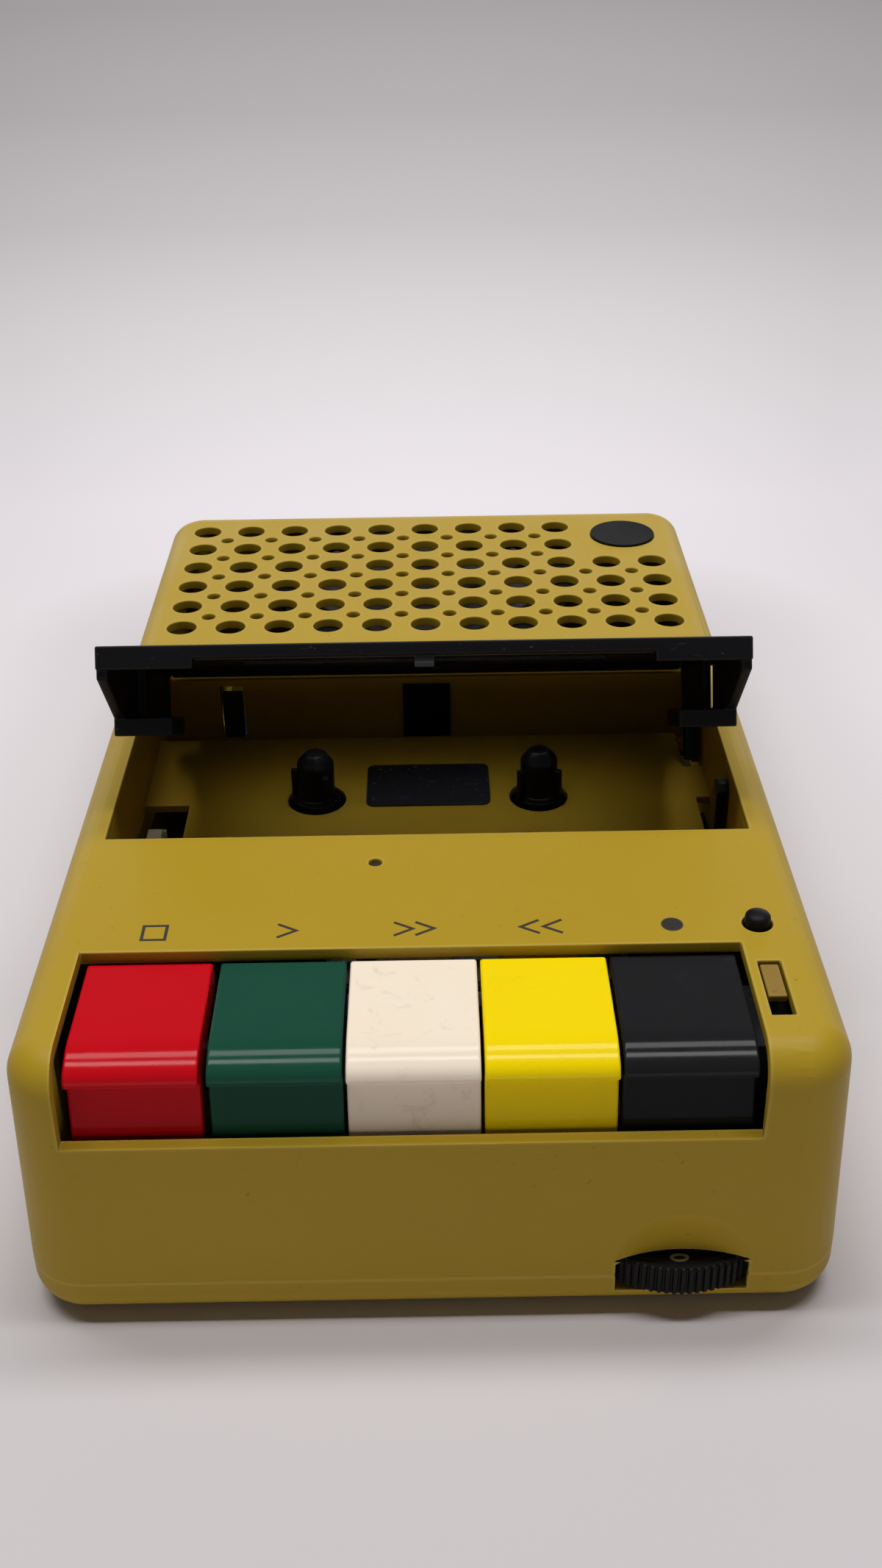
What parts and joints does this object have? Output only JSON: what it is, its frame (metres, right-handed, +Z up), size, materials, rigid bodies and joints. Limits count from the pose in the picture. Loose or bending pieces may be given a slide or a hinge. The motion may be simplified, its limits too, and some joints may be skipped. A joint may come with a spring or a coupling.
{
  "type": "portable cassette tape recorder",
  "caption": "Portable cassette tape recorder with a perforated speaker deck, open cassette lid, coloured piano keys and a volume thumbwheel.",
  "frame": {"origin": "centre of the footprint on the table under the feet", "axes": "+X to the user's right, +Y from the keys to the loudspeaker, +Z up"},
  "size_m": [0.1236, 0.2066, 0.0806],
  "materials": {
    "case_abs": "satin moulded ABS",
    "lid_black": "scuffed black moulding",
    "rubber": "soft black rubber",
    "steel": "plated steel",
    "brass": "turned brass",
    "mirror": "polished plate",
    "clear": "clear acrylic",
    "key_red": "glossy",
    "key_green": "glossy",
    "key_ivory": "glossy",
    "key_yellow": "glossy",
    "key_black": "glossy",
    "knob_tan": "satin",
    "cell_wrap": "printed sleeve, bare",
    "board": "phenolic board",
    "cone_paper": "paper cone"
  },
  "bodies": {
    "case": {"upper_case": "case_abs", "cassette_bay": "case_abs", "bottom_case": "case_abs", "badge": "lid_black", "rubber_feet": "rubber", "case_screws": "steel", "battery_cells": "cell_wrap", "battery_contacts": "steel", "speaker_frame": "steel", "speaker_cone": "cone_paper", "speaker_magnet": "steel", "chassis_plate": "steel", "chassis_screws": "steel", "spindle_pins": "steel", "brake_lever": "key_ivory", "tape_mirror": "mirror", "cassette_pad": "lid_black", "lid_latch": "steel", "lid_hinge_pins": "steel", "lid_springs": "steel", "key_axle": "steel", "key_bracket": "steel", "key_return_spring": "steel", "button_switch": "lid_black", "slide_switch": "lid_black", "volume_pot": "steel", "circuit_board": "board", "board_components": "board", "motor": "steel", "drive_belt": "rubber", "capstan_bearing": "brass", "jack_sockets": "lid_black"},
    "lid": {"cassette_lid": "lid_black", "lid_window": "clear", "lid_catch": "steel"},
    "lift_lever": {"lid_lift_lever": "lid_black"},
    "stop_key": {"stop_key": "key_red"},
    "play_key": {"play_key": "key_green"},
    "forward_key": {"forward_key": "key_ivory"},
    "rewind_key": {"rewind_key": "key_yellow"},
    "record_key": {"record_key": "key_black"},
    "push_button": {"push_button": "lid_black"},
    "slide_knob": {"slide_knob": "knob_tan"},
    "volume_wheel": {"volume_wheel": "lid_black"},
    "supply_spindle": {"supply_spindle": "lid_black"},
    "takeup_spindle": {"takeup_spindle": "lid_black"},
    "flywheel": {"flywheel": "steel"},
    "motor_pulley": {"motor_pulley": "brass"},
    "head_slide": {"head_slide": "steel", "play_head": "steel", "erase_head": "steel"},
    "pinch_roller": {"pinch_roller": "rubber"},
    "battery_door": {"battery_door": "case_abs"},
    "safety_lever": {"safety_lever": "steel"}
  },
  "joints": [
    {"name": "lid_hinge", "type": "hinge", "parent": "case", "child": "lid", "pos_m": [0, 0.0245, 0.0472], "axis": [1, 0, 0], "range_deg": [0, 28.7], "stiffness_Nm_per_rad": 0.06, "springref_deg": -28.65},
    {"name": "lift_slide", "type": "slide", "parent": "case", "child": "lift_lever", "axis": [0, 0, -1], "range_m": [0, 0.0131]},
    {"name": "stop_key_hinge", "type": "hinge", "parent": "case", "child": "stop_key", "pos_m": [0, -0.05835, 0.0402], "axis": [1, 0, 0], "range_deg": [0, 8], "stiffness_Nm_per_rad": 0.08, "springref_deg": -8.59, "deforming": ["key_return_spring"]},
    {"name": "play_key_hinge", "type": "hinge", "parent": "case", "child": "play_key", "pos_m": [0, -0.05835, 0.0402], "axis": [1, 0, 0], "range_deg": [0, 8], "stiffness_Nm_per_rad": 0.08, "springref_deg": -8.59, "deforming": ["key_return_spring"]},
    {"name": "forward_key_hinge", "type": "hinge", "parent": "case", "child": "forward_key", "pos_m": [0, -0.05835, 0.0402], "axis": [1, 0, 0], "range_deg": [0, 8], "stiffness_Nm_per_rad": 0.08, "springref_deg": -8.59, "deforming": ["key_return_spring"]},
    {"name": "rewind_key_hinge", "type": "hinge", "parent": "case", "child": "rewind_key", "pos_m": [0, -0.05835, 0.0402], "axis": [1, 0, 0], "range_deg": [0, 8], "stiffness_Nm_per_rad": 0.08, "springref_deg": -8.59, "deforming": ["key_return_spring"]},
    {"name": "record_key_hinge", "type": "hinge", "parent": "case", "child": "record_key", "pos_m": [0, -0.05835, 0.0402], "axis": [1, 0, 0], "range_deg": [0, 8], "stiffness_Nm_per_rad": 0.08, "springref_deg": -8.59, "deforming": ["key_return_spring"]},
    {"name": "push_button_slide", "type": "slide", "parent": "case", "child": "push_button", "axis": [0, 0, -1], "range_m": [0, 0.0016], "stiffness_N_per_m": 200, "springref_m": -0.001},
    {"name": "slide_knob_slide", "type": "slide", "parent": "case", "child": "slide_knob", "axis": [0, -1, 0], "range_m": [0, 0.0044]},
    {"name": "volume_turn", "type": "hinge", "parent": "case", "child": "volume_wheel", "pos_m": [0.0373, -0.08555, 0.008], "axis": [0, 0, 1], "range_deg": [-140, 140]},
    {"name": "supply_spin", "type": "hinge", "parent": "case", "child": "supply_spindle", "pos_m": [-0.02125, -0.00505, 0.033], "axis": [0, 0, 1], "continuous": true},
    {"name": "takeup_spin", "type": "hinge", "parent": "case", "child": "takeup_spindle", "pos_m": [0.02125, -0.00505, 0.033], "axis": [0, 0, 1], "continuous": true},
    {"name": "flywheel_spin", "type": "hinge", "parent": "case", "child": "flywheel", "pos_m": [0.016, -0.03365, 0.009], "axis": [0, 0, 1], "continuous": true},
    {"name": "motor_spin", "type": "hinge", "parent": "case", "child": "motor_pulley", "pos_m": [-0.034, -0.06075, 0.009], "axis": [0, 0, 1], "continuous": true},
    {"name": "head_slide_move", "type": "slide", "parent": "case", "child": "head_slide", "axis": [0, 1, 0], "range_m": [0, 0.004]},
    {"name": "pinch_spin", "type": "hinge", "parent": "head_slide", "child": "pinch_roller", "pos_m": [0.016, -0.04445, 0.04], "axis": [0, 0, 1], "continuous": true},
    {"name": "battery_door_slide", "type": "slide", "parent": "case", "child": "battery_door", "axis": [0, 1, 0], "range_m": [0, 0.03]},
    {"name": "safety_lever_slide", "type": "slide", "parent": "case", "child": "safety_lever", "axis": [0, 1, 0], "range_m": [0, 0.002], "stiffness_N_per_m": 50, "springref_m": -0.002}
  ],
  "couplings": [
    {"joint": "lift_slide", "follows": "lid_hinge", "m_per_rad": 0.0258},
    {"joint": "motor_spin", "follows": "flywheel_spin", "ratio": 4.9},
    {"joint": "play_key_hinge", "follows": "head_slide_move", "rad_per_m": 34.9}
  ]
}
